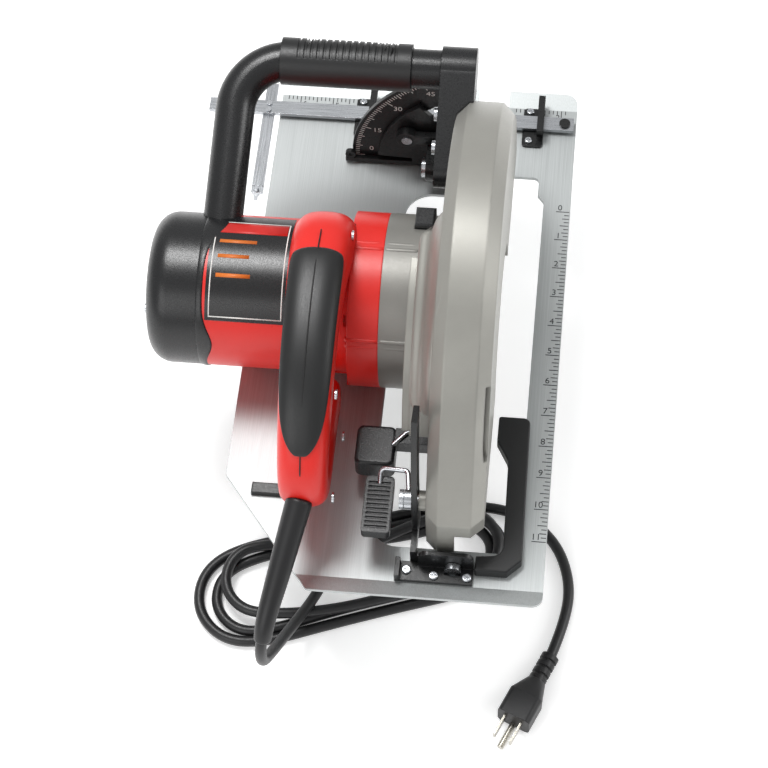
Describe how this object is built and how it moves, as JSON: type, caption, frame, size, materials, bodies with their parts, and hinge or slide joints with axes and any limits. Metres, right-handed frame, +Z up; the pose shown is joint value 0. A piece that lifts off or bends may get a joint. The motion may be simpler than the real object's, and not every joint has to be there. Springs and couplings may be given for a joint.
{
  "type": "portable circular saw",
  "caption": "Corded handheld circular saw with upper and lower blade guards, tilting shoe, rip fence, front and rear handles and a loose power cord.",
  "frame": {"origin": "on the sole plane of the shoe, in the blade's plane, straight below the arbor at full depth", "axes": "+Y forward along the cut, +Z up, +X to the right of the blade, away from the motor"},
  "size_m": [0.3144, 0.5005, 0.3],
  "materials": {
    "brushed_steel": "brushed plate",
    "black_steel": "black powder coat",
    "zinc_screw": "zinc plated",
    "bright_steel": "bright rolled",
    "machined_steel": "ground",
    "guard_magnesium": "matte coated casting",
    "case_magnesium": "matte casting",
    "blade_steel": "ground disc",
    "red_nylon": "moulded glass filled nylon",
    "black_nylon": "moulded nylon",
    "grip_rubber": "soft overmould",
    "cord_rubber": "extruded jacket",
    "copper": "wound and laminated",
    "carbon": "pressed carbon",
    "brass": "stamped brass",
    "label_film": "printed film, blank"
  },
  "bodies": {
    "shoe": {"shoe_plate": "brushed_steel", "bevel_quadrant": "black_steel", "shoe_screws": "zinc_screw", "rear_bracket": "black_steel", "slot_frame": "black_steel", "fence_clamp_left": "black_steel", "fence_clamp_right": "black_steel", "wrench_clip": "black_steel", "cord_lead": "cord_rubber", "cord_coil": "cord_rubber", "cord_tail": "cord_rubber", "plug_body": "cord_rubber", "plug_blades": "brass"},
    "fence": {"fence_rail": "bright_steel", "fence_guide": "bright_steel", "fence_stop": "black_steel", "fence_rivets": "zinc_screw"},
    "carriage": {"front_carriage": "black_steel", "bevel_pointer": "black_steel", "bevel_pins": "zinc_screw", "depth_pin": "zinc_screw", "depth_arm": "black_steel", "bevel_bolt": "zinc_screw"},
    "bevel_lever": {"bevel_lever": "black_steel"},
    "saw": {"upper_guard": "guard_magnesium", "gear_case": "case_magnesium", "case_screws": "zinc_screw", "spindle_bearings": "machined_steel", "motor_bearings": "machined_steel", "stator": "copper", "brush_holders": "brass", "carbon_brushes": "carbon", "motor_housing": "red_nylon", "end_cap": "black_nylon", "handle_left": "red_nylon", "handle_right": "red_nylon", "grip_pad": "grip_rubber", "housing_screws": "zinc_screw", "power_switch": "black_nylon", "strain_relief": "cord_rubber", "front_handle": "black_nylon", "front_grip": "grip_rubber", "handle_arm": "black_nylon", "arm_bolts": "zinc_screw", "label_plate": "label_film", "clamp_bolt": "zinc_screw"},
    "spindle": {"spindle": "machined_steel", "spindle_gear": "machined_steel", "saw_blade": "blade_steel", "blade_flanges": "machined_steel", "blade_bolt": "machined_steel"},
    "armature": {"armature": "copper"},
    "lower_guard": {"lower_guard": "guard_magnesium", "guard_lever": "black_nylon", "lever_wire": "bright_steel"},
    "trigger": {"trigger": "black_nylon"},
    "lock_button": {"lock_button": "black_nylon"},
    "depth_lever": {"depth_lever": "bright_steel", "lever_pad": "black_nylon"}
  },
  "joints": [
    {"name": "fence_slide", "type": "slide", "parent": "shoe", "child": "fence", "axis": [1, 0, 0], "range_m": [-0.06, 0]},
    {"name": "bevel", "type": "hinge", "parent": "shoe", "child": "carriage", "pos_m": [0, 0, 0.009], "axis": [0, 1, 0], "range_deg": [0, 45]},
    {"name": "bevel_lever_turn", "type": "hinge", "parent": "carriage", "child": "bevel_lever", "pos_m": [-0.06235, 0.157, 0.045], "axis": [0, -1, 0], "range_deg": [0, 60]},
    {"name": "depth", "type": "hinge", "parent": "carriage", "child": "saw", "pos_m": [-0.03, 0.14, 0.03], "axis": [-1, 0, 0], "range_deg": [0, 15]},
    {"name": "depth_lever_turn", "type": "hinge", "parent": "saw", "child": "depth_lever", "pos_m": [-0.033, -0.14961, 0.045], "axis": [-1, 0, 0], "range_deg": [0, 25]},
    {"name": "blade_spin", "type": "hinge", "parent": "saw", "child": "spindle", "pos_m": [0, 0, 0.035], "axis": [1, 0, 0], "continuous": true},
    {"name": "armature_spin", "type": "hinge", "parent": "saw", "child": "armature", "pos_m": [-0.12, 0, 0.061], "axis": [1, 0, 0], "continuous": true},
    {"name": "lower_guard_swing", "type": "hinge", "parent": "saw", "child": "lower_guard", "pos_m": [-0.011, 0, 0.035], "axis": [-1, 0, 0], "range_deg": [0, 100], "stiffness_Nm_per_rad": 0.6, "springref_deg": -45.84},
    {"name": "trigger_pull", "type": "hinge", "parent": "saw", "child": "trigger", "pos_m": [-0.104, -0.062, 0.12], "axis": [-1, 0, 0], "range_deg": [0, 10], "stiffness_Nm_per_rad": 0.5, "springref_deg": -11.46},
    {"name": "lock_press", "type": "slide", "parent": "saw", "child": "lock_button", "axis": [0, 0, -1], "range_m": [0, 0.003], "stiffness_N_per_m": 900, "springref_m": -0.002}
  ],
  "couplings": [
    {"joint": "armature_spin", "follows": "blade_spin", "ratio": -3.3333}
  ]
}
